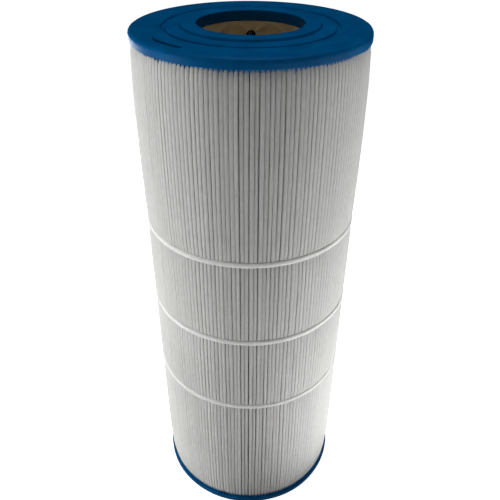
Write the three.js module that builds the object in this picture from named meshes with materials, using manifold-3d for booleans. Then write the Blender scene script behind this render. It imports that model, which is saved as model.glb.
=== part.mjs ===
// A large pleated filter cartridge for a pool or spa filter tank.
// Millimetres, +Z up. The cartridge's axis is Z and it stands on z = 0.
// A zig-zag strip of polyester stands round a perforated tube, three bands hold
// the folds in place, and both ends are cast into open polyurethane caps.

import * as THREE from 'three';
import { mergeVertices } from 'three/addons/utils/BufferGeometryUtils.js';
import Module from 'manifold-3d';

// Overall size
const HEIGHT = 590.5;
const CAP_R = 113.5;
const HOLE_R = 50.8;
const GAP = 0.3; // room left between pieces that touch
const ROUND_SIDES = 64;
const MERGE = 1e-4; // corners closer than this are one corner

// End caps: a disc with a raised sealing face round the hole and one moulded groove
const CAP_THICK = 9.0;
const SEAL_RISE = 2.5;
const SEAL_R = 65.3;
const SEAL_SLOPE = 1.2;
const RIM_ROUND = 4.5;
const RIM_STEPS = 3;
const GROOVE_R = 81.6;
const GROOVE_WIDE = 3.8;
const GROOVE_FLOOR = 2.2;
const GROOVE_DEEP = 2.0;
const SEAT_DEEP = 1.5; // the step in the hole that the core tube stands in

// Core tube
const CORE_R = 54.0;
const CORE_WALL = 3.0;
const PORT_R = 5.3;
const PORT_SIDES = 6;
const PORTS_AROUND = 8;
const PORT_ROWS = 16;
const PORT_FIRST = 14.5; // from the tube's end to its first row of ports
const ROD_LONG = 3 * CORE_R; // a cutting rod passes right through the tube

// Pleated strip
const PLEATS = 168;
const SEAM_PITCHES = 0.5; // extra room where the strip's two ends are joined
const SEAM_AZIMUTH = THREE.MathUtils.degToRad(75);
const MEDIA_THICK = 0.55;
const TIP_R = 112.0;
const VALLEY_R = 55.0;
const TIP_HALF = 0.9; // from a pleat's middle to the middle of its wall, at the tip
const VALLEY_HALF = 0.5; // the same at the inner fold
const BEAD_FROM = 60.0; // the glue bead's inner and outer radius
const BEAD_TO = 84.0;
const BEAD_CLEAR = 1.3 * GAP; // kept between the bead and the walls beside it

// Bands round the pleats, evenly spaced
const BAND_MIDDLE = 292.0; // height of the middle one
const BAND_SPACING = 100.5;
const BAND_TALL = 5.6;
const BAND_INNER = 112.4;
const BAND_THICK = 1.0;
const BAND_CROWN = 3.0; // height of its outer face

const END_T = CAP_THICK + SEAL_RISE; // whole thickness of an end cap
const PITCH = (2 * Math.PI) / (PLEATS + SEAM_PITCHES);

const urethane = new THREE.MeshStandardMaterial({ color: 0x0a4068, roughness: 0.42, metalness: 0 });
const polyester = new THREE.MeshStandardMaterial({ color: 0xeceded, roughness: 0.9, metalness: 0 });
const coreResin = new THREE.MeshStandardMaterial({ color: 0xc2a87e, roughness: 0.55, metalness: 0 });
const bandResin = new THREE.MeshStandardMaterial({ color: 0xf6f6f4, roughness: 0.5, metalness: 0 });
const glue = new THREE.MeshStandardMaterial({ color: 0xe6e0cc, roughness: 0.35, metalness: 0 });

// Turns a closed outline of [radius, height] pairs about Z.
function turned(outline, sides) {
  const points = outline.map(([r, z]) => new THREE.Vector2(r, z));
  points.push(points[0].clone());
  const ring = new THREE.LatheGeometry(points, sides);
  ring.rotateX(Math.PI / 2);
  return ring;
}

function part(name, geometry, material) {
  const mesh = new THREE.Mesh(geometry, material);
  mesh.name = name;
  return mesh;
}

// One end cap, with its potting face at z = 0 and its sealing face up.
function capShape() {
  const outline = [[HOLE_R, SEAT_DEEP], [CORE_R + GAP, SEAT_DEEP], [CORE_R + GAP, 0], [CAP_R, 0]];
  for (let i = 0; i <= RIM_STEPS; i += 1) {
    const turn = (i / RIM_STEPS) * (Math.PI / 2);
    const r = CAP_R - RIM_ROUND * (1 - Math.cos(turn));
    outline.push([r, CAP_THICK - RIM_ROUND * (1 - Math.sin(turn))]);
  }
  const floor = CAP_THICK - GROOVE_DEEP;
  outline.push([GROOVE_R + GROOVE_WIDE / 2, CAP_THICK], [GROOVE_R + GROOVE_FLOOR / 2, floor]);
  outline.push([GROOVE_R - GROOVE_FLOOR / 2, floor], [GROOVE_R - GROOVE_WIDE / 2, CAP_THICK]);
  outline.push([SEAL_R + SEAL_SLOPE, CAP_THICK], [SEAL_R, END_T]);
  outline.push([HOLE_R, END_T]);
  return turned(outline, ROUND_SIDES);
}

function toManifold(wasm, geometry) {
  const bare = geometry.clone();
  bare.deleteAttribute('normal');
  bare.deleteAttribute('uv');
  const merged = mergeVertices(bare, MERGE);
  const vertProperties = new Float32Array(merged.attributes.position.array);
  const triVerts = new Uint32Array(merged.index.array);
  return new wasm.Manifold(new wasm.Mesh({ numProp: 3, vertProperties, triVerts }));
}

function fromManifold(solid) {
  const { vertProperties, triVerts, numProp } = solid.getMesh();
  const geometry = new THREE.BufferGeometry();
  const places = new THREE.BufferAttribute(new Float32Array(vertProperties), numProp);
  geometry.setAttribute('position', places);
  geometry.setIndex(new THREE.BufferAttribute(new Uint32Array(triVerts), 1));
  geometry.computeVertexNormals();
  return geometry;
}

// The tube, pierced by staggered rows of round ports. One rod cuts two opposite ports, and
// the top row has a port at azimuth 0.
async function coreShape(length) {
  const wasm = await Module();
  wasm.setup();
  const inner = CORE_R - CORE_WALL;
  const wall = [[inner, 0], [CORE_R, 0], [CORE_R, length], [inner, length]];
  let tube = toManifold(wasm, turned(wall, ROUND_SIDES / 2));
  const rowStep = (length - 2 * PORT_FIRST) / (PORT_ROWS - 1);
  for (let row = 0; row < PORT_ROWS; row += 1) {
    const stagger = ((PORT_ROWS - 1 - row) % 2) / 2;
    for (let i = 0; i < PORTS_AROUND / 2; i += 1) {
      const rod = new THREE.CylinderGeometry(PORT_R, PORT_R, ROD_LONG, PORT_SIDES);
      rod.rotateY(Math.PI / PORT_SIDES);
      rod.rotateZ(Math.PI / 2);
      rod.rotateZ(((i + stagger) * 2 * Math.PI) / PORTS_AROUND);
      rod.translate(0, 0, PORT_FIRST + row * rowStep);
      tube = tube.subtract(toManifold(wasm, rod));
    }
  }
  return fromManifold(tube);
}

// A point on radius r, a short way across from the spoke at an azimuth.
function besideSpoke(r, azimuth, across) {
  const x = r * Math.cos(azimuth) - across * Math.sin(azimuth);
  const y = r * Math.sin(azimuth) + across * Math.cos(azimuth);
  return new THREE.Vector2(x, y);
}

// The folded strip from one end round to the other: out over each tip and in at each valley.
function mediaShape(length) {
  const half = MEDIA_THICK / 2;
  const outside = [];
  const inside = [];
  const first = SEAM_AZIMUTH + (PITCH * (1 + SEAM_PITCHES)) / 2;
  const foot = PITCH * VALLEY_R / 2 - VALLEY_HALF; // a wall's foot, across from its pleat's spoke
  for (let k = 0; k < PLEATS; k += 1) {
    const tip = first + k * PITCH;
    if (k === 0) {
      outside.push(besideSpoke(VALLEY_R, tip, -foot - half));
      inside.push(besideSpoke(VALLEY_R, tip, -foot + half));
    }
    outside.push(besideSpoke(TIP_R, tip, -TIP_HALF - half), besideSpoke(TIP_R, tip, TIP_HALF + half));
    inside.push(besideSpoke(TIP_R - MEDIA_THICK, tip, half - TIP_HALF));
    inside.push(besideSpoke(TIP_R - MEDIA_THICK, tip, TIP_HALF - half));
    if (k === PLEATS - 1) {
      outside.push(besideSpoke(VALLEY_R, tip, foot + half));
      inside.push(besideSpoke(VALLEY_R, tip, foot - half));
    } else {
      const valley = tip + PITCH / 2;
      const out = VALLEY_HALF - half;
      const under = VALLEY_HALF + half;
      outside.push(besideSpoke(VALLEY_R + MEDIA_THICK, valley, -out));
      outside.push(besideSpoke(VALLEY_R + MEDIA_THICK, valley, out));
      inside.push(besideSpoke(VALLEY_R, valley, -under), besideSpoke(VALLEY_R, valley, under));
    }
  }
  const section = new THREE.Shape([...outside, ...inside.reverse()]);
  return new THREE.ExtrudeGeometry(section, { depth: length, bevelEnabled: false });
}

// The bead of glue that fills the wedge between the strip's two end walls.
function seamShape(length) {
  const foot = (PITCH * VALLEY_R * SEAM_PITCHES) / 2 + VALLEY_HALF;
  const top = PITCH * TIP_R * (1 + SEAM_PITCHES) / 2 - TIP_HALF;
  const room = (r) => {
    const share = (r - VALLEY_R) / (TIP_R - VALLEY_R);
    return foot + (top - foot) * share - MEDIA_THICK / 2 - BEAD_CLEAR;
  };
  const section = new THREE.Shape([
    besideSpoke(BEAD_FROM, SEAM_AZIMUTH, -room(BEAD_FROM)),
    besideSpoke(BEAD_TO, SEAM_AZIMUTH, -room(BEAD_TO)),
    besideSpoke(BEAD_TO, SEAM_AZIMUTH, room(BEAD_TO)),
    besideSpoke(BEAD_FROM, SEAM_AZIMUTH, room(BEAD_FROM)),
  ]);
  return new THREE.ExtrudeGeometry(section, { depth: length, bevelEnabled: false });
}

// One band, about z = 0, narrower on its outer face than against the pleats.
function bandShape() {
  const edge = BAND_TALL / 2;
  const crown = BAND_CROWN / 2;
  const outer = BAND_INNER + BAND_THICK;
  return turned([[BAND_INNER, -edge], [outer, -crown], [outer, crown], [BAND_INNER, edge]], ROUND_SIDES);
}

const cartridge = new THREE.Group();

const capTop = part('end_cap_top', capShape(), urethane);
capTop.position.z = HEIGHT - END_T;
const capBottom = part('end_cap_bottom', capShape(), urethane);
capBottom.rotation.x = Math.PI;
capBottom.position.z = END_T;
cartridge.add(capTop, capBottom);

const coreFrom = END_T - SEAT_DEEP + GAP;
const core = part('core_tube', await coreShape(HEIGHT - 2 * coreFrom), coreResin);
core.position.z = coreFrom;
cartridge.add(core);

const mediaFrom = END_T + GAP;
const mediaLong = HEIGHT - 2 * mediaFrom;
const media = part('pleated_media', mediaShape(mediaLong), polyester);
const seam = part('media_seam', seamShape(mediaLong), glue);
media.position.z = mediaFrom;
seam.position.z = mediaFrom;
cartridge.add(media, seam);

['band_lower', 'band_middle', 'band_upper'].forEach((name, i) => {
  const band = part(name, bandShape(), bandResin);
  band.position.z = BAND_MIDDLE + (i - 1) * BAND_SPACING;
  cartridge.add(band);
});

export default cartridge;
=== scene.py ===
"""The looks of a pleated filter cartridge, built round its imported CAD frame.

Metres, +Z up, the cartridge's axis is Z and it stands on z = 0. Lengths are written in
millimetres times MM.
"""

import math

import bmesh
import bpy
import numpy as np
from mathutils import Matrix, Vector


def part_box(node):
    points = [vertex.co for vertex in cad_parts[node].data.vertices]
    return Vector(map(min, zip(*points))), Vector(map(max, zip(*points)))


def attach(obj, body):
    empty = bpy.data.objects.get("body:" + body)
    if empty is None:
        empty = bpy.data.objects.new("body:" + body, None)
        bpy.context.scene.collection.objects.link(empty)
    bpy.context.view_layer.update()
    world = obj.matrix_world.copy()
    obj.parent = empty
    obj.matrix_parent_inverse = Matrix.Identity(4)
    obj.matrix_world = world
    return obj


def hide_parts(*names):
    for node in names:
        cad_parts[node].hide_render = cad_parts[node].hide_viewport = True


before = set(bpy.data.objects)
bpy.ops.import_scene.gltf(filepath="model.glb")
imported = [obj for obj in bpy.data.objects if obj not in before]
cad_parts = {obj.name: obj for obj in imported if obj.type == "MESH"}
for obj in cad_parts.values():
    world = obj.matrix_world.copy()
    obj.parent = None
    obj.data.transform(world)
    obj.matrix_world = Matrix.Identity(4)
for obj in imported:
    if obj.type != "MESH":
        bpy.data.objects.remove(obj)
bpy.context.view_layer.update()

MM = 0.001
TURN = 2 * math.pi

# Heights and radii, read from the CAD frame
CAP_LOW_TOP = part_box("end_cap_bottom")[1].z
CAP_HIGH_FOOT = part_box("end_cap_top")[0].z
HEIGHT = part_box("end_cap_top")[1].z
CAP_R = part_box("end_cap_top")[1].x
CORE_FOOT, CORE_TOP = (corner.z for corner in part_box("core_tube"))
CORE_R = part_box("core_tube")[1].x
BANDS = ("lower", "middle", "upper")
BAND_HEIGHTS = [sum(corner.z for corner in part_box(f"band_{name}")) / 2 for name in BANDS]

# End caps
HOLE_R = 50.8 * MM
SEAL_RISE = 2.5 * MM
SEAL_R = 65.3 * MM
SEAL_SLOPE = 1.2 * MM
GROOVE_R = 81.6 * MM
GROOVE_WIDE = 3.8 * MM
GROOVE_FLOOR = 2.2 * MM
GROOVE_DEEP = 2.0 * MM
SEAT_DEEP = 1.5 * MM  # the recess that takes the core tube's end
SEAT_R = CORE_R + 0.3 * MM
RIM_ROUND = 4.5 * MM
SKIRT_ROUND = 0.5 * MM
LIP_ROUND = 0.25 * MM
GROOVE_ROUND = 0.5 * MM
CREST_ROUND = 0.35 * MM
HOLE_ROUND = 0.6 * MM
CAP_SEGMENTS = 400
CAP_STEP = 0.8 * MM  # the longest step along the section
CAP_SWELL = 0.05 * MM  # how far the skirt is from a true circle
CAP_SWELL_WIDE = 6 * MM  # how far in from the skirt that reaches
CAP_LOBES = range(2, 9)  # how many waves it has round the cap

# A blank moulded recess in the top cap's face
MARK_R = 100 * MM
MARK_AZIMUTH = math.radians(-137)
MARK_LONG = 45 * MM
MARK_WIDE = 3.2 * MM
MARK_DEEP = 2.0 * MM
MARK_WALL = 0.5 * MM
ON_FACE = 0.01 * MM  # points this near the face are on it

# Urethane that has climbed between the pleats at the caps
CLIMB = 3.2 * MM
CLIMB_ON_TIPS = 0.12  # the share of it that is on the tips too
CLIMB_LOOSE = 1.3  # how much further it climbs between loose folds
CLIMB_SPREAD = (3, 0.33)  # its spread over the pleats, as a gamma distribution's shape and scale
GAP_FROM, GAP_TO = 0.3, 0.45  # where it rises between pleats, in pitches from a tip
RING_POINTS = 10  # for each pleat
RING_SUNK = 0.6 * MM  # how far its edges are buried in the cap
RING_SECTION = [  # radius, and the share of the climb there
    (SEAT_R + 2 * MM, 0), (SEAT_R + 3 * MM, 0.3), (100 * MM, 1), (107 * MM, 0.95),
    (109.3 * MM, 0.8), (110.8 * MM, 0.55), (112 * MM, 0.18), (113 * MM, 0),
]

# Core tube
CORE_WALL = 3.0 * MM
PORT_R = 5.3 * MM
PORTS_AROUND = 8
PORT_ROWS = 16
PORT_FIRST = 14.5 * MM
PORT_EDGE = 0.5 * MM
PORT_CORNER = 0.15 * MM  # how much of a port's corner is left by its bevel
CELL_ACROSS, CELL_UPRIGHT = 8, 6  # points along the sides of the cell round a port

# Pleats
PLEATS = 168
SEAM_PITCHES = 0.5
PITCH = TURN / (PLEATS + SEAM_PITCHES)
SEAM_AZIMUTH = math.radians(75)
FIRST_TIP = SEAM_AZIMUTH + PITCH * (1 + SEAM_PITCHES) / 2
VALLEY_R = 56.3 * MM
VALLEY_HALF = 1.0 * MM  # half a fold's width where it rests on the core
TIP_R = CAP_R - 0.2 * MM
TIP_HALF = 2.03 * MM  # half a pleat's width at its tip
TIP_DEEP = 0.7 * MM  # how far back its rounded shoulders reach
TIP_FLAT = 0.84  # the share of the half width that is flat
TIP_SHOULDER = [(0.94, 0.12), (0.98, 0.4), (1, 1)]  # share of the half width, of the depth
TIP_GAP = 0.12 * MM  # the least space between one tip and the next
WALLS = [(22 * MM, 0.7, 0.09 * MM), (6 * MM, 0.91, 0.04 * MM)]  # depth, share of width, waves
POTTED = 1.2 * MM  # how far the visible strip runs on into each cap
MEDIA_FOOT = CAP_LOW_TOP - POTTED
MEDIA_TOP = CAP_HIGH_FOOT + POTTED

# Where the strip's points are, in height
EVEN_LEVELS = 15
END_LEVELS = (1.5 * MM, 5 * MM, 12 * MM)
BAND_LEVELS = (2.5 * MM, 6 * MM, 14 * MM)
LEVELS_APART = 1.2 * MM

# What holds the pleats in and lets them out
END_HOLD = 24 * MM  # how far from a cap the folds are still held
BAND_HOLD = 14 * MM
BAND_GRIP = 0.45  # how well a band holds them, next to a cap
FOOT_PINCH, FOOT_PINCH_LONG = 3.1 * MM, 18 * MM
TOP_PINCH, TOP_PINCH_LONG = 2.8 * MM, 9 * MM
BAND_PINCH, BAND_PINCH_LONG = 1.0 * MM, 7 * MM
BULGES = np.array([0.3, 0.35, 0.4, 1.2]) * MM  # between the bands, from the foot up

# How uneven the pleats are: sizes, and the lengths over which they change
LOOSE_AZIMUTH = math.radians(-90)  # the folds are looser and less even round here
LOOSE_SPREAD = math.radians(30)
LOOSE_SHARE = 0.14  # how much narrower they are there
EVEN_LEAST = 0.2  # how uneven the others are, next to those
LEAN, LEAN_LONG = 0.05, 160 * MM  # sideways, in pitches
LEAN_FINE, LEAN_FINE_LONG = 0.02, 60 * MM
LEAN_FADE = 1.3  # how soon a lean fades towards the valleys
SPREAD_ROUNDS, SPREAD_PART = 40, 3  # leaning tips are pushed apart a third at a time
WIDTH_EACH, WIDTH_ALONG, WIDTH_LONG = 0.06, 0.04, 80 * MM  # in half widths
WIDTH_MOST = 0.2
STEP_EACH, STEP_ALONG, STEP_LONG = 0.12 * MM, 0.08 * MM, 70 * MM  # in and out
STEP_MOST = 0.7 * MM
STEP_HELD = 0.35  # the share of it where the folds are held
ROLL = 0.07  # how much a tip's face is turned to one side, as a slope
ROLL_ALONG, ROLL_LONG = 0.5, 90 * MM
ROLL_MOST = 2
WALL_LONG = 70 * MM  # how quickly the walls' waves change

# The glue bead in the seam's valley
GLUE_OUTER_R, GLUE_OUTER_WAVE, GLUE_OUTER_LONG = 82 * MM, 1.1 * MM, 9 * MM
GLUE_INNER_R, GLUE_INNER_WAVE, GLUE_INNER_LONG = 61 * MM, 0.8 * MM, 12 * MM
GLUE_CLEAR = 0.6 * MM  # to the cloth beside it
GLUE_TIP_CLEAR = 1.2 * MM  # the same at the tips, for the way its flanks flare
GLUE_LEVELS = 90
GLUE_SECTION = [  # share of the way out, share of the half width
    (0.0, -1.0), (0.5, -1.0), (1.0, -0.75), (1.06, 0.0), (1.0, 0.75), (0.5, 1.0), (0.0, 1.0),
    (-0.04, 0.0),
]

# Bands
BAND_TALL = 6.4 * MM
BAND_PROUD = 1.5 * MM
BAND_SEAT_R = 112.3 * MM
BAND_START = math.radians(96)
BAND_LAP = math.radians(9)
LAP_RISE = 0.8  # of its thickness
LAP_RISES_BEFORE, LAP_RISES_OVER = 0.4, 0.5  # of the lap's length
BAND_END = 4 * MM  # how long its ends taper
BAND_END_LEAST = 0.02  # of the full size, squared
BAND_SAG = 0.22 * MM  # between one tip and the next
BAND_UNEVEN, BAND_UNEVEN_LONG = 0.07, 12 * MM
BAND_DRIFT, BAND_DRIFT_LONG = 0.35 * MM, 90 * MM  # up and down
BAND_STEPS = 1100
BAND_BULGE = 0.8  # below 1, the section is squarer than an ellipse
BAND_SECTION = [(math.cos(turn) ** BAND_BULGE, math.sin(turn))  # shares: proud of the seat, up
                for turn in np.radians(np.linspace(-90, 90, 9))]
BAND_SECTION += [(-0.25, 0.7), (-0.25, -0.7)]

# The studio
CAMERA_AT = (3.54 * MM, -555.5 * MM, 711.1 * MM)
CAMERA_DOWN = math.radians(34.129)
CAMERA_TURN = math.radians(-0.343)
CAMERA_ROLL = math.radians(0.252)
CAMERA_CLIP = (0.01, 50)
SENSOR_WIDE = 36.0
LENS = 41.0
FLOOR_HALF = 12.0
FLOOR_DROP = 0.3 * MM

# Lamps
MIDDLE = (0, 0, HEIGHT / 2)
LOW = (0, 0, 0.15)
LAMPS = [  # name, place, aim, size, power
    ("left_low", (-1.4, 0, 0.10), LOW, (1.0, 0.7), 28.5),
    ("left_front", (-1.3, -0.5, 0.35), MIDDLE, (0.8, 0.9), 6.5),
    ("right_low", (1.4, 0, 0.10), LOW, (1.0, 0.7), 8),
    ("above", (0, 0, 2.2), MIDDLE, (1.2, 1.2), 20),
]
BOUNCE_UP = 3 * MM
BOUNCES = [  # lamps just above the floor that face up: name, x, y, size, power
    ("bounce_left", -0.55, 0, (0.8, 1.4), 4.5),
    ("bounce_right", 0.55, 0, (0.8, 1.4), 15.0),
    ("bounce_front", 0, -0.45, (1.4, 0.7), 1.1),
]
GLEAM = ("left_behind", (-0.75, 1.05, 0.22), (0, 0, 0.22), (0.9, 0.35), 7)

# The seeds of the random draws
SEEDS = {"shape": 11, "walls": 12, "seam_glue": 13,
         "cast_cap_top": 21, "cast_cap_bottom": 22, "potting_top": 23, "potting_bottom": 24,
         "bead_lower": 31, "bead_middle": 32, "bead_upper": 33}

# Edges sharper than these, in degrees, stay crisp, and points closer than a weld are joined
CAST_CREASE = 50
RING_CREASE = 60
CORE_CREASE = 20
WELD = 0.005 * MM


# Mesh helpers

def as_object(name, points, faces, sharp=None):
    """A smooth-shaded mesh piece that rides on the cartridge. Given an angle in degrees, it is
    a closed piece: touching points are joined and edges sharper than the angle stay crisp."""
    mesh = bpy.data.meshes.new(name)
    mesh.from_pydata(np.asarray(points).reshape(-1, 3).tolist(), [], faces)
    mesh.shade_smooth()
    if sharp:
        work = bmesh.new()
        work.from_mesh(mesh)
        bmesh.ops.remove_doubles(work, verts=work.verts, dist=WELD)
        bmesh.ops.recalc_face_normals(work, faces=work.faces)
        work.to_mesh(mesh)
        work.free()
        mesh.set_sharp_from_angle(angle=math.radians(sharp))
    piece = bpy.data.objects.new(name, mesh)
    bpy.context.collection.objects.link(piece)
    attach(piece, "root")
    return piece


def grid_faces(rows, columns, rows_close=False, columns_close=False):
    """The quads of a grid of points, numbered along each row in turn."""
    i = np.arange(rows if rows_close else rows - 1)[:, None]
    j = np.arange(columns if columns_close else columns - 1)[None, :]
    up, along = (i + 1) % rows, (j + 1) % columns
    corners = [i * columns + j, i * columns + along, up * columns + along, up * columns + j]
    return np.stack([np.broadcast_to(c, (i.size, j.size)).ravel() for c in corners], axis=1).tolist()


def at(radius, azimuth, height, across=0.0):
    """Points on a radius, a short way across from the spoke at an azimuth."""
    x = radius * np.cos(azimuth) - across * np.sin(azimuth)
    y = radius * np.sin(azimuth) + across * np.cos(azimuth)
    return np.stack(np.broadcast_arrays(x, y, height), axis=-1)


def rounded(corners, steps=4):
    """A closed outline whose (radius, height, rounding) corners are turned into curves."""
    out = []
    count = len(corners)
    for i, (r, z, rounding) in enumerate(corners):
        here = np.array([r, z])
        if not rounding:
            out.append(here)
            continue
        ends = []
        for other in (corners[i - 1], corners[(i + 1) % count]):
            way = np.array(other[:2]) - here
            ends.append(here + way / np.linalg.norm(way) * rounding)
        for t in np.linspace(0, 1, steps + 1):
            out.append((1 - t) ** 2 * ends[0] + 2 * t * (1 - t) * here + t ** 2 * ends[1])
    return np.array(out)


def with_steps(outline, longest):
    """The closed outline again, with points added along its long straight stretches."""
    out = []
    for a, b in zip(outline, np.roll(outline, -1, axis=0), strict=True):
        parts = max(1, math.ceil(np.linalg.norm(b - a) / longest))
        out += [a + (b - a) * t / parts for t in range(parts)]
    return np.array(out)


def capped_run(name, columns):
    """A closed piece swept along a path: one column of points for each corner of its section,
    and a flat face at each end."""
    sections = np.stack(columns, axis=1)
    count, corners = sections.shape[:2]
    faces = grid_faces(count, corners, False, True)
    faces += [list(range(corners)), [(count - 1) * corners + i for i in range(corners)]]
    return as_object(name, sections, faces, CAST_CREASE)


def eased(t):
    """0 to 1 with a soft start and end."""
    t = np.clip(t, 0, 1)
    return t * t * (3 - 2 * t)


def wander(rng, rows, places, step, neighbours=0):
    """Smooth noise of about unit size: a row for each pleat, a column for each place."""
    knots = int((places[-1] - places[0]) / step) + 2
    values = rng.normal(size=(rows, knots))
    for _ in range(neighbours):
        values = (np.roll(values, 1, axis=0) + 2 * values + np.roll(values, -1, axis=0)) / 4
    values /= values.std()
    where = (places - places[0]) / step
    left = np.minimum(where.astype(int), knots - 2)
    blend = eased(where - left)
    return values[:, left] * (1 - blend) + values[:, left + 1] * blend


def turned_from(other, azimuth):
    """The angle round from one azimuth to the next, half a turn at most either way."""
    return (azimuth - other + math.pi) % TURN - math.pi


def looseness(azimuth):
    """1 where the folds are loosest, at the front, falling to 0 away from it."""
    return np.exp(-(turned_from(LOOSE_AZIMUTH, azimuth) / LOOSE_SPREAD) ** 2)


# The end caps

def cap_outline():
    """One end cap's section as (radius, height) points, potting face at 0, sealing face up."""
    flat = HEIGHT - CAP_HIGH_FOOT - SEAL_RISE
    crown = flat + SEAL_RISE
    lip = GROOVE_WIDE / 2
    floor = GROOVE_FLOOR / 2
    mark = MARK_WIDE / 2
    corners = [
        (HOLE_R, SEAT_DEEP, 0), (SEAT_R, SEAT_DEEP, 0), (SEAT_R, 0, 0),
        (CAP_R, 0, SKIRT_ROUND), (CAP_R, flat, RIM_ROUND),
        (MARK_R + mark + MARK_WALL, flat, 0), (MARK_R + mark, flat, 0),
        (MARK_R - mark, flat, 0), (MARK_R - mark - MARK_WALL, flat, 0),
        (GROOVE_R + lip, flat, LIP_ROUND), (GROOVE_R + floor, flat - GROOVE_DEEP, GROOVE_ROUND),
        (GROOVE_R - floor, flat - GROOVE_DEEP, GROOVE_ROUND), (GROOVE_R - lip, flat, LIP_ROUND),
        (SEAL_R + SEAL_SLOPE, flat, LIP_ROUND), (SEAL_R, crown, CREST_ROUND),
        (HOLE_R, crown, HOLE_ROUND),
    ]
    return with_steps(rounded(corners), CAP_STEP)


def blank_mark(radius, azimuth, height, flat):
    """How far the top face is pressed in at a point, for the short moulded recess."""
    along = np.abs(turned_from(MARK_AZIMUTH, azimuth)) * MARK_R
    past_end = np.maximum(along - (MARK_LONG - MARK_WIDE) / 2, 0)
    past_side = np.hypot(past_end, radius - MARK_R) - MARK_WIDE / 2
    on_face = height > flat - ON_FACE
    return np.where(on_face, MARK_DEEP * np.clip(1 - past_side / MARK_WALL, 0, 1), 0)


def end_cap(name, foot, facing):
    """A cast cap: facing is 1 with its sealing face up and -1 with it down."""
    rng = np.random.default_rng(SEEDS[name])
    outline = cap_outline()
    azimuth = np.linspace(0, TURN, CAP_SEGMENTS, endpoint=False)[:, None]
    radius, height = outline[:, 0][None, :], outline[:, 1][None, :]
    flat = HEIGHT - CAP_HIGH_FOOT - SEAL_RISE
    if facing > 0:
        height = height - blank_mark(radius, azimuth, height, flat)
    swell = sum(rng.normal() * np.cos(lobes * azimuth + rng.uniform(0, TURN)) for lobes in CAP_LOBES)
    skirt = eased((radius - (CAP_R - CAP_SWELL_WIDE)) / CAP_SWELL_WIDE)
    radius = radius + CAP_SWELL * swell * skirt
    points = at(radius, azimuth, foot + facing * height)
    faces = grid_faces(CAP_SEGMENTS, len(outline), True, True)
    piece = as_object(name, points, faces, CAST_CREASE)
    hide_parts(name.replace("cast_", "end_"))
    return piece


def potting_ring(name, level, facing, tips):
    """Where the urethane has climbed a little way up between the pleats at a cap."""
    rng = np.random.default_rng(SEEDS[name])
    count = PLEATS * RING_POINTS
    azimuth = np.linspace(0, TURN, count, endpoint=False)
    off_tips = np.abs(turned_from(tips, azimuth[:, None]))
    between = eased((off_tips.min(axis=1) / PITCH - GAP_FROM) / (GAP_TO - GAP_FROM))
    each = rng.gamma(*CLIMB_SPREAD, PLEATS)[off_tips.argmin(axis=1)]
    climb = CLIMB * (CLIMB_ON_TIPS + (1 - CLIMB_ON_TIPS) * between * each)
    climb *= 1 + CLIMB_LOOSE * looseness(azimuth)
    sunk = level - facing * RING_SUNK
    points = [at(radius, azimuth, level + facing * share * climb if share else sunk)
              for radius, share in RING_SECTION]
    faces = grid_faces(len(RING_SECTION), count, True, True)
    return as_object(name, points, faces, RING_CREASE)


# The core tube

def port_cell(height, azimuth, edge_x, edge_z):
    """The rings of points of the cell centred here: its outline on the tube's outside, its port's
    bevelled bore, its outline on the inside."""
    inner_r = CORE_R - CORE_WALL
    wide = PORT_R + PORT_EDGE
    section = [(CORE_R, None), (CORE_R, wide), (CORE_R - PORT_CORNER, PORT_R + PORT_CORNER),
               (CORE_R - PORT_EDGE, PORT_R), (inner_r + PORT_EDGE, PORT_R),
               (inner_r + PORT_CORNER, PORT_R + PORT_CORNER), (inner_r, wide), (inner_r, None)]
    spoke = np.arctan2(edge_z, edge_x)
    rings = []
    for radius, hole in section:
        x = edge_x if hole is None else hole * np.cos(spoke)
        z = edge_z if hole is None else hole * np.sin(spoke)
        level = np.clip(height + z, CORE_FOOT, CORE_TOP)
        rings.append(at(radius, azimuth + x / CORE_R, level))
    return rings


def core_tube():
    """The perforated tube: a quilt of cells, each with its round port, and a rim at each end."""
    step = (CORE_TOP - CORE_FOOT - 2 * PORT_FIRST) / (PORT_ROWS - 1)
    cell = TURN / PORTS_AROUND
    across = np.arange(CELL_ACROSS) / CELL_ACROSS - 0.5
    upright = np.arange(CELL_UPRIGHT) / CELL_UPRIGHT - 0.5
    right, top = np.full(CELL_UPRIGHT, 0.5), np.full(CELL_ACROSS, 0.5)
    edge_x = np.concatenate([across, right, -across, -right]) * cell * CORE_R
    edge_z = np.concatenate([-top, upright, top, -upright]) * step
    patches = []
    for row in range(PORT_ROWS):
        height = CORE_FOOT + PORT_FIRST + row * step
        stagger = (PORT_ROWS - 1 - row) % 2 / 2
        patches += [port_cell(height, (i + stagger) * cell, edge_x, edge_z) for i in range(PORTS_AROUND)]
    around = np.arange(PORTS_AROUND * CELL_ACROSS) * cell / CELL_ACROSS
    for level in (CORE_FOOT, CORE_TOP):
        patches.append([at(radius, around, level) for radius in (CORE_R - CORE_WALL, CORE_R)])
    points, faces = [], []
    for rings in patches:
        start = len(points)
        quads = grid_faces(len(rings), len(rings[0]), False, True)
        faces += [[start + corner for corner in quad] for quad in quads]
        points += list(np.concatenate(rings))
    piece = as_object("core_moulding", points, faces, CORE_CREASE)
    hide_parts("core_tube")
    return piece


# The pleated strip

def strip_heights():
    """Heights across the strip, closer together where caps and bands hold it."""
    heights = list(np.linspace(MEDIA_FOOT, MEDIA_TOP, EVEN_LEVELS))
    for off in END_LEVELS:
        heights += [MEDIA_FOOT + off, MEDIA_TOP - off]
    for band_height in BAND_HEIGHTS:
        for off in BAND_LEVELS:
            heights += [band_height - off, band_height + off]
    heights.sort()
    apart = np.diff(heights, prepend=-1) > LEVELS_APART
    return np.array(heights)[apart]


def hold(heights, centre, reach):
    """1 at a height where the folds are held, falling to 0 away from it."""
    return np.exp(-((heights - centre) / reach) ** 2)


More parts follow.
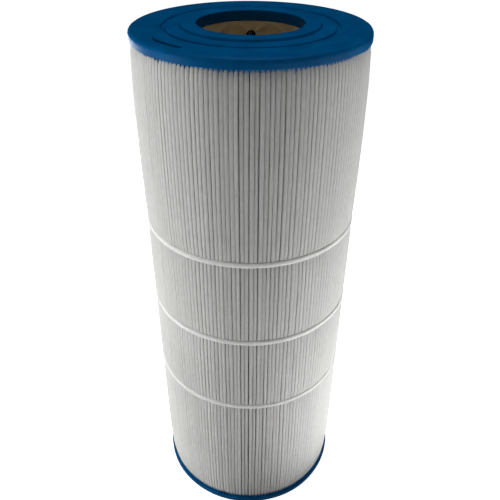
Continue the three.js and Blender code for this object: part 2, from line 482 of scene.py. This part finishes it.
def strip_radius(heights):
    """How far out the tips are at each height: pinched at the caps and bands, full between."""
    spans = np.concatenate([[MEDIA_FOOT], BAND_HEIGHTS, [MEDIA_TOP]])
    part = np.clip(np.searchsorted(spans, heights, side="right") - 1, 0, len(BULGES) - 1)
    along = (heights - spans[part]) / (spans[part + 1] - spans[part])
    radius = TIP_R + BULGES[part] * np.sin(math.pi * np.clip(along, 0, 1))
    radius -= FOOT_PINCH * np.exp(-(heights - CAP_LOW_TOP) / FOOT_PINCH_LONG)
    radius -= TOP_PINCH * np.exp(-(CAP_HIGH_FOOT - heights) / TOP_PINCH_LONG)
    radius -= BAND_PINCH * sum(hold(heights, level, BAND_PINCH_LONG) for level in BAND_HEIGHTS)
    return radius


def spread_out(lean, half):
    """Leans eased apart until neighbouring tips keep their gap."""
    for _ in range(SPREAD_ROUNDS):
        room = 1 + np.diff(lean, axis=0)
        least = (half[1:] + half[:-1] + TIP_GAP) / (PITCH * TIP_R)
        short = np.maximum(least - room, 0) / SPREAD_PART
        lean[1:] += short
        lean[:-1] -= short
    return lean


def strip_shape(heights):
    """Each pleat's tip azimuth, radius, half width and roll at each height."""
    rng = np.random.default_rng(SEEDS["shape"])
    one_each = (PLEATS, 1)
    ends = hold(heights, MEDIA_FOOT, END_HOLD) + hold(heights, MEDIA_TOP, END_HOLD)
    bands = sum(hold(heights, level, BAND_HOLD) for level in BAND_HEIGHTS)
    free = np.clip(1 - ends - BAND_GRIP * bands, 0, 1)
    nominal = FIRST_TIP + PITCH * np.arange(PLEATS)[:, None]
    loose = looseness(nominal)
    uneven = EVEN_LEAST + (1 - EVEN_LEAST) * loose
    lean = LEAN * wander(rng, PLEATS, heights, LEAN_LONG, 1)
    lean += LEAN_FINE * wander(rng, PLEATS, heights, LEAN_FINE_LONG)
    lean = (lean * free + LEAN * rng.normal(size=one_each)) * uneven
    half = WIDTH_EACH * rng.normal(size=one_each)
    half = half + WIDTH_ALONG * wander(rng, PLEATS, heights, WIDTH_LONG)
    half = (1 + np.clip(half, -WIDTH_MOST, WIDTH_MOST) * uneven - LOOSE_SHARE * loose) * TIP_HALF
    lean = spread_out(lean, half)
    steps = STEP_EACH * rng.normal(size=one_each)
    steps = steps + STEP_ALONG * wander(rng, PLEATS, heights, STEP_LONG)
    steps = np.clip(steps, -STEP_MOST, STEP_MOST) * (STEP_HELD + (1 - STEP_HELD) * free)
    radius = strip_radius(heights)[None, :] + steps * uneven
    half = half * radius / TIP_R
    roll = rng.normal(size=one_each) + ROLL_ALONG * wander(rng, PLEATS, heights, ROLL_LONG)
    roll = ROLL * np.clip(roll, -ROLL_MOST, ROLL_MOST) * uneven
    return nominal + lean * PITCH, radius, half, roll


def strip_points(heights, tips, radii, halves, rolls):
    """The strip's points: a row of them up the strip for each crease and shoulder in turn."""
    rng = np.random.default_rng(SEEDS["walls"])
    nominal = FIRST_TIP + PITCH * np.arange(PLEATS)[:, None]

    def point(depth, across):
        radius = radii - depth
        share = np.clip((radius - VALLEY_R) / (radii - VALLEY_R), 0, 1) ** LEAN_FADE
        return at(radius, nominal + (tips - nominal) * share, heights[None, :], across)

    def wall(side, depth, narrowed, bow):
        wave = bow * wander(rng, PLEATS, heights, WALL_LONG)
        return point(depth, side * narrowed * halves + wave)

    shoulder = [(TIP_FLAT, 0)] + TIP_SHOULDER
    crest = [(-side, back) for side, back in reversed(shoulder)] + shoulder
    rows = [wall(-1, *spec) for spec in WALLS]
    for side, back in crest:
        across = side * halves
        rows.append(point(back * TIP_DEEP - rolls * across, across))
    rows += [wall(1, *spec) for spec in reversed(WALLS)]
    valley = nominal + PITCH / 2
    level = np.broadcast_to(heights[None, :], tips.shape)
    rows += [at(VALLEY_R, valley, level, side * VALLEY_HALF) for side in (-1, 1)]
    sheet = np.stack(rows, axis=1).reshape(-1, len(heights), 3)[:-2]
    foot = PITCH * VALLEY_R / 2 - VALLEY_HALF
    first = at(VALLEY_R, nominal[0], heights, -foot)[None]
    last = at(VALLEY_R, nominal[-1], heights, foot)[None]
    return np.concatenate([first, sheet, last])


def pleated_strip(heights, tips, radii, halves, rolls):
    """The whole strip as one sheet: over every tip, down both walls, round every valley. Its
    points know their place on the flat cloth, and how deep in the folds they are."""
    sheet = strip_points(heights, tips, radii, halves, rolls)
    piece = as_object("pleated_cloth", sheet, grid_faces(len(sheet), len(heights)))
    middle = len(heights) // 2
    along = np.linalg.norm(np.diff(sheet[:, middle], axis=0), axis=1)
    cloth = np.zeros(sheet.shape, np.float32)
    cloth[:, :, 0] = np.concatenate([[0], np.cumsum(along)])[:, None]
    cloth[:, :, 1] = heights[None, :]
    places = piece.data.attributes.new("cloth", "FLOAT_VECTOR", "POINT")
    places.data.foreach_set("vector", cloth.ravel())
    # How deep in the folds, 0 at the tips to 1 at the valleys: the cloth's material paints shade with it
    depth = 1 - (np.hypot(sheet[:, :, 0], sheet[:, :, 1]) - VALLEY_R) / (TIP_R - VALLEY_R)
    depths = piece.data.attributes.new("depth", "FLOAT", "POINT")
    depths.data.foreach_set("value", depth.ravel())
    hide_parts("pleated_media")
    return piece


def seam_bead():
    """The glue bead in the seam's valley, uneven as it was laid."""
    rng = np.random.default_rng(SEEDS["seam_glue"])
    levels = np.linspace(MEDIA_FOOT + POTTED, MEDIA_TOP - POTTED, GLUE_LEVELS)
    foot = PITCH * VALLEY_R * SEAM_PITCHES / 2 + VALLEY_HALF
    flare = (PITCH * TIP_R * (1 + SEAM_PITCHES) / 2 - GLUE_TIP_CLEAR - foot) / (TIP_R - VALLEY_R)
    outer = GLUE_OUTER_R + GLUE_OUTER_WAVE * wander(rng, 1, levels, GLUE_OUTER_LONG)[0]
    inner = GLUE_INNER_R + GLUE_INNER_WAVE * wander(rng, 1, levels, GLUE_INNER_LONG)[0]
    columns = []
    for share, side in GLUE_SECTION:
        radius = inner + (outer - inner) * share
        room = foot + flare * (radius - VALLEY_R) - GLUE_CLEAR
        columns.append(at(radius, SEAM_AZIMUTH, levels, side * room))
    piece = capped_run("seam_glue", columns)
    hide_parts("media_seam")
    return piece


# The bands

def tapered(length):
    """A band end's share of the full size, at a length from the end."""
    return np.sqrt(np.clip(length / BAND_END, BAND_END_LEAST, 1))


def band(name, height, tips):
    """A plastic bead laid round the tips, its end lapped over its start at the back."""
    rng = np.random.default_rng(SEEDS[name])
    azimuth = np.linspace(BAND_START, BAND_START + TURN + BAND_LAP, BAND_STEPS)
    since = azimuth - BAND_START
    left = azimuth[-1] - azimuth
    off_tip = np.abs(turned_from(tips, azimuth[:, None])).min(axis=1)
    sag = BAND_SAG * eased(off_tip / (PITCH / 2))
    places = azimuth * CAP_R
    thick = 1 + BAND_UNEVEN * wander(rng, 1, places, BAND_UNEVEN_LONG)[0]
    drift = BAND_DRIFT * wander(rng, 1, places, BAND_DRIFT_LONG)[0]
    drift *= eased(since / BAND_LAP) * eased(left / BAND_LAP)
    risen = (since - TURN + BAND_LAP * LAP_RISES_BEFORE) / (BAND_LAP * LAP_RISES_OVER)
    seat = BAND_SEAT_R - sag + BAND_PROUD * LAP_RISE * eased(risen)
    taper = tapered(left * CAP_R) * tapered(since * CAP_R)
    columns = []
    for proud, side in BAND_SECTION:
        radius = seat + proud * BAND_PROUD * thick * taper
        columns.append(at(radius, azimuth, height + drift + side * BAND_TALL / 2 * taper))
    piece = capped_run(name, columns)
    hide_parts(name.replace("bead", "band"))
    return piece


# Materials

class Finish:
    """A node material round one Principled shader."""

    def __init__(self, name):
        self.material = bpy.data.materials.new(name)
        self.material.use_nodes = True
        self.tree = self.material.node_tree
        self.shader = self.tree.nodes["Principled BSDF"]

    def node(self, kind, inputs=None, **settings):
        """A new node. Its inputs are numbers, colours or other nodes' outputs."""
        made = self.tree.nodes.new(kind)
        for key, value in settings.items():
            setattr(made, key, value)
        for key, value in (inputs or {}).items():
            if isinstance(value, bpy.types.NodeSocket):
                self.tree.links.new(value, made.inputs[key])
            else:
                made.inputs[key].default_value = value
        return made

    def stretched(self, places, scale, rotation=0.0):
        """Coordinates scaled by axis, after a turn in the sheet's plane."""
        turned = self.node("ShaderNodeMapping", {"Vector": places, "Scale": scale,
                                                 "Rotation": (0, 0, math.radians(rotation))})
        return turned.outputs["Vector"]

    def noise(self, places, scale, detail=3.0, roughness=0.55, distortion=0.0):
        made = self.node("ShaderNodeTexNoise", {
            "Vector": places, "Scale": scale, "Detail": detail, "Roughness": roughness,
            "Distortion": distortion})
        return made.outputs["Fac"]

    def ranged(self, value, low, high, start=0, end=1):
        """A value's place between low and high, as one between start and end."""
        made = self.node("ShaderNodeMapRange", {
            "Value": value, "From Min": low, "From Max": high, "To Min": start, "To Max": end})
        return made.outputs["Result"]

    def maths(self, operation, a, b):
        return self.node("ShaderNodeMath", {0: a, 1: b}, operation=operation).outputs[0]

    def mixed(self, share, a, b):
        """The colour a share of the way from a to b."""
        made = self.node("ShaderNodeMix", {0: share, 6: a, 7: b}, data_type="RGBA")
        return made.outputs[2]

    def bump(self, height, strength, distance, below=None):
        inputs = {"Height": height, "Strength": strength, "Distance": distance}
        if below is not None:
            inputs["Normal"] = below
        return self.node("ShaderNodeBump", inputs).outputs["Normal"]

    def blend(self, share, other):
        """Lets another shader take a share of the surface."""
        both = self.node("ShaderNodeMixShader", {0: share, 1: self.shader.outputs["BSDF"], 2: other})
        surface = self.tree.nodes["Material Output"].inputs["Surface"]
        self.tree.links.new(both.outputs["Shader"], surface)

    def set(self, **values):
        """Sets the shader's sockets, whose names are written here with _ for each space."""
        for key, value in values.items():
            socket = self.shader.inputs[key.replace("_", " ")]
            if isinstance(value, bpy.types.NodeSocket):
                self.tree.links.new(value, socket)
            else:
                socket.default_value = value


def colour(red, green, blue):
    """An sRGB colour, 0 to 255, as the shaders' linear one."""
    def linear(value):
        share = value / 255
        return share / 12.92 if share <= 0.04045 else ((share + 0.055) / 1.055) ** 2.4
    return (linear(red), linear(green), linear(blue), 1.0)


def cloth_fibres(look, places):
    """Flat fibres that lie in four directions, 0 to 1."""
    fibres = None
    for turn in (12, 57, 104, 151):
        way = look.stretched(places, (2600, 190, 1), turn)
        strand = look.noise(way, scale=1.0, detail=2, roughness=0.5, distortion=0.6)
        strand = look.ranged(strand, 0.5, 0.72)
        fibres = strand if fibres is None else look.maths("MAXIMUM", fibres, strand)
    return fibres


def wetted(look, places):
    """How much of the caps' urethane the cloth has soaked up next to them."""
    up = look.node("ShaderNodeSeparateXYZ", {"Vector": places}).outputs["Y"]
    ragged = look.maths("MULTIPLY", look.noise(places, scale=420), 6 * MM)
    from_foot = look.maths("SUBTRACT", up, ragged)
    low = look.ranged(from_foot, CAP_LOW_TOP, CAP_LOW_TOP + 3 * MM, start=1, end=0)
    from_top = look.maths("ADD", up, ragged)
    high = look.ranged(from_top, CAP_HIGH_FOOT, CAP_HIGH_FOOT + 3 * MM)
    return look.maths("MULTIPLY", look.maths("MAXIMUM", low, high), 0.75)


def polyester_finish():
    """White spunbonded cloth: cloudy formation, flat fibres lying every way, a soft sheen. It
    is stained blue next to the caps, and painted shade darkens it deep in the folds."""
    look = Finish("spunbonded_polyester")
    places = look.node("ShaderNodeAttribute", attribute_name="cloth").outputs["Vector"]
    clouds = look.noise(places, scale=130, detail=5, roughness=0.6)
    blotch = look.noise(places, scale=22)
    fibres = cloth_fibres(look, places)
    tone = look.mixed(look.ranged(clouds, 0.3, 0.7), colour(223, 223, 220), colour(236, 236, 234))
    tone = look.mixed(look.ranged(blotch, 0.35, 0.75, end=0.35), tone, colour(214, 214, 210))
    tone = look.mixed(look.maths("MULTIPLY", fibres, 0.3), tone, colour(246, 246, 245))
    tone = look.mixed(wetted(look, places), tone, colour(70, 120, 165))
    # Painted shade: deep in the folds, where the cloth lies in shade behind the core's ports, it is
    # painted near black
    depth = look.node("ShaderNodeAttribute", attribute_name="depth").outputs["Fac"]
    tone = look.mixed(look.ranged(depth, 0.8, 1, end=0.96), tone, colour(40, 39, 36))
    height = look.maths("ADD", look.maths("MULTIPLY", clouds, 0.5), look.maths("MULTIPLY", fibres, 0.6))
    normal = look.bump(height, strength=0.35, distance=0.12 * MM)
    look.set(Base_Color=tone, Roughness=0.85, Sheen_Weight=0.12, Sheen_Roughness=0.5,
             Specular_IOR_Level=0.25, Normal=normal)
    through = look.node("ShaderNodeBsdfTranslucent", {"Color": tone, "Normal": normal})
    look.blend(0.4, through.outputs["BSDF"])
    return look.material


def urethane_finish():
    """Deep blue cast polyurethane: satin, faintly uneven, with scuffs and a few pinholes whose shade is
    painted in a darker blue.
    """
    look = Finish("cast_urethane")
    places = look.node("ShaderNodeTexCoord").outputs["Object"]
    swirl = look.noise(places, scale=28, detail=4, distortion=1.4)
    skin = look.noise(places, scale=900, roughness=0.6)
    dust = look.noise(places, scale=2300, detail=2, roughness=0.7)
    spots = look.node("ShaderNodeTexVoronoi", {"Vector": places, "Scale": 150.0, "Randomness": 1.0})
    chosen = look.ranged(spots.outputs["Color"], 0.16, 0.15)
    pit = look.ranged(spots.outputs["Distance"], 0.05, 0.13, start=1, end=0)
    pit = look.maths("MULTIPLY", pit, chosen)
    tone = look.mixed(look.ranged(swirl, 0.3, 0.7), colour(0, 70, 120), colour(0, 84, 135))
    # Painted shade: the pinholes are painted a darker blue for the shade inside them
    tone = look.mixed(look.maths("MULTIPLY", pit, 0.6), tone, colour(0, 30, 66))
    gloss = look.ranged(swirl, 0.25, 0.75, start=0.34, end=0.5)
    gloss = look.maths("ADD", gloss, look.ranged(dust, 0.45, 0.8, end=0.12))
    normal = look.bump(swirl, strength=0.25, distance=0.6 * MM)
    normal = look.bump(skin, strength=0.12, distance=0.08 * MM, below=normal)
    sunk = look.maths("MULTIPLY", pit, -1.0)
    normal = look.bump(sunk, strength=0.5, distance=0.25 * MM, below=normal)
    look.set(Base_Color=tone, Roughness=gloss, Specular_IOR_Level=0.14, Normal=normal)
    return look.material


def core_finish():
    """Tan moulded plastic with flow lines along the tube."""
    look = Finish("core_plastic")
    places = look.node("ShaderNodeTexCoord").outputs["Object"]
    flow = look.noise(look.stretched(places, (90, 90, 9)), scale=1.0, detail=4, roughness=0.6)
    grain = look.noise(places, scale=1500, detail=2)
    tone = look.mixed(look.ranged(flow, 0.3, 0.7), colour(198, 175, 136), colour(216, 195, 156))
    gloss = look.ranged(flow, 0.3, 0.7, start=0.42, end=0.56)
    normal = look.bump(flow, strength=0.2, distance=0.3 * MM)
    normal = look.bump(grain, strength=0.15, distance=0.06 * MM, below=normal)
    look.set(Base_Color=tone, Roughness=gloss, Normal=normal)
    return look.material


def band_finish():
    """White plastic bead, milky, with the ripples of being laid hot."""
    look = Finish("band_plastic")
    places = look.node("ShaderNodeTexCoord").outputs["Object"]
    ripple = look.noise(places, scale=260, roughness=0.5)
    grain = look.noise(places, scale=1900, detail=2)
    tone = look.mixed(look.ranged(ripple, 0.3, 0.7), colour(209, 209, 205), colour(222, 222, 220))
    gloss = look.ranged(ripple, 0.3, 0.7, start=0.48, end=0.62)
    normal = look.bump(ripple, strength=0.3, distance=0.3 * MM)
    normal = look.bump(grain, strength=0.1, distance=0.05 * MM, below=normal)
    look.set(Base_Color=tone, Roughness=gloss, Specular_IOR_Level=0.25, Normal=normal)
    return look.material


def glue_finish():
    """Hot-melt glue, milky amber."""
    look = Finish("hot_melt")
    places = look.node("ShaderNodeTexCoord").outputs["Object"]
    cloud = look.noise(places, scale=120)
    tone = look.mixed(look.ranged(cloud, 0.3, 0.7), colour(214, 204, 176), colour(233, 226, 204))
    gloss = look.ranged(cloud, 0.3, 0.7, start=0.25, end=0.4)
    look.set(Base_Color=tone, Roughness=gloss, Normal=look.bump(cloud, strength=0.25, distance=0.4 * MM))
    return look.material


def floor_finish():
    """A pale floor that glows as brightly as the white wall behind it."""
    look = Finish("pale_floor")
    places = look.node("ShaderNodeTexCoord").outputs["Object"]
    grain = look.noise(places, scale=40, detail=2)
    tone = look.mixed(look.ranged(grain, 0.3, 0.7), colour(250, 250, 250), colour(253, 253, 253))
    look.set(Base_Color=tone, Roughness=0.9, Specular_IOR_Level=0.0,
             Emission_Color=(1, 1, 1, 1), Emission_Strength=1.0)
    return look.material


# The camera, floor and lamps

def camera():
    """The camera, in front of the cartridge and above it, looking down."""
    data = bpy.data.cameras.new("camera")
    data.sensor_width = SENSOR_WIDE
    data.lens = LENS
    data.clip_start, data.clip_end = CAMERA_CLIP
    made = bpy.data.objects.new("camera", data)
    bpy.context.collection.objects.link(made)
    down, turn = CAMERA_DOWN, CAMERA_TURN
    ahead = Vector((math.sin(turn) * math.cos(down), math.cos(turn) * math.cos(down), -math.sin(down)))
    right = Vector((math.cos(turn), -math.sin(turn), 0))
    up = right.cross(ahead)
    level_right = right * math.cos(CAMERA_ROLL) + up * math.sin(CAMERA_ROLL)
    level_up = up * math.cos(CAMERA_ROLL) - right * math.sin(CAMERA_ROLL)
    axes = Matrix((level_right, level_up, -ahead)).transposed()
    made.matrix_world = Matrix.Translation(CAMERA_AT) @ axes.to_4x4()
    bpy.context.scene.camera = made


def softbox(name, place, aim, size, power, mirrored=False):
    """A rectangular soft light at a place, facing an aim point. Unless it is mirrored, it
    lights surfaces without showing in their gloss."""
    data = bpy.data.lights.new(name, "AREA")
    data.shape = "RECTANGLE"
    data.size, data.size_y = size
    data.energy = power
    made = bpy.data.objects.new(name, data)
    bpy.context.collection.objects.link(made)
    facing = (Vector(aim) - Vector(place)).to_track_quat("-Z", "Y").to_matrix().to_4x4()
    made.matrix_world = Matrix.Translation(place) @ facing
    made.visible_camera = False
    made.visible_glossy = mirrored


def surroundings():
    """A white wall all round that only the camera sees: all the light comes from the lamps."""
    world = bpy.data.worlds.new("studio")
    world.use_nodes = True
    world.node_tree.nodes["Background"].inputs["Color"].default_value = (1, 1, 1, 1)
    world.cycles_visibility.diffuse = False
    world.cycles_visibility.glossy = False
    world.cycles_visibility.transmission = False
    bpy.context.scene.world = world


def studio_floor():
    """The pale floor. The three bounce lamps stand for the light that it would throw up."""
    side = FLOOR_HALF
    corners = [(-side, -side, 0), (side, -side, 0), (side, side, 0), (-side, side, 0)]
    mesh = bpy.data.meshes.new("floor")
    mesh.from_pydata(corners, [], [(0, 1, 2, 3)])
    floor = bpy.data.objects.new("floor", mesh)
    floor.location.z = -FLOOR_DROP
    bpy.context.collection.objects.link(floor)
    floor.data.materials.append(floor_finish())
    floor.visible_diffuse = False
    floor.visible_glossy = False
    floor.visible_transmission = False


def studio():
    """The camera, the white surroundings and the lamps."""
    camera()
    surroundings()
    studio_floor()
    for lamp in LAMPS:
        softbox(*lamp)
    for name, x, y, size, power in BOUNCES:
        softbox(name, (x, y, BOUNCE_UP), (x, y, 1), size, power)
    softbox(*GLEAM, mirrored=True)
    bpy.context.scene.view_settings.view_transform = "Standard"


# Putting it together

def wear(finish, *pieces):
    """Gives pieces their material."""
    for piece in pieces:
        piece.data.materials.clear()
        piece.data.materials.append(finish)


def tips_at(heights, tips, height):
    """The tips' azimuths at one height."""
    return np.array([np.interp(height, heights, row) for row in tips])


def cartridge():
    """Every piece of the cartridge, in its material."""
    heights = strip_heights()
    tips, radii, halves, rolls = strip_shape(heights)
    cloth = pleated_strip(heights, tips, radii, halves, rolls)
    caps = [end_cap("cast_cap_top", CAP_HIGH_FOOT, 1),
            end_cap("cast_cap_bottom", CAP_LOW_TOP, -1)]
    rings = [potting_ring("potting_top", CAP_HIGH_FOOT, -1, tips[:, -1]),
             potting_ring("potting_bottom", CAP_LOW_TOP, 1, tips[:, 0])]
    beads = [band(f"bead_{name}", height, tips_at(heights, tips, height))
             for name, height in zip(BANDS, BAND_HEIGHTS, strict=True)]
    wear(polyester_finish(), cloth)
    wear(urethane_finish(), *caps, *rings)
    wear(core_finish(), core_tube())
    wear(band_finish(), *beads)
    wear(glue_finish(), seam_bead())


studio()
cartridge()
bpy.context.view_layer.update()
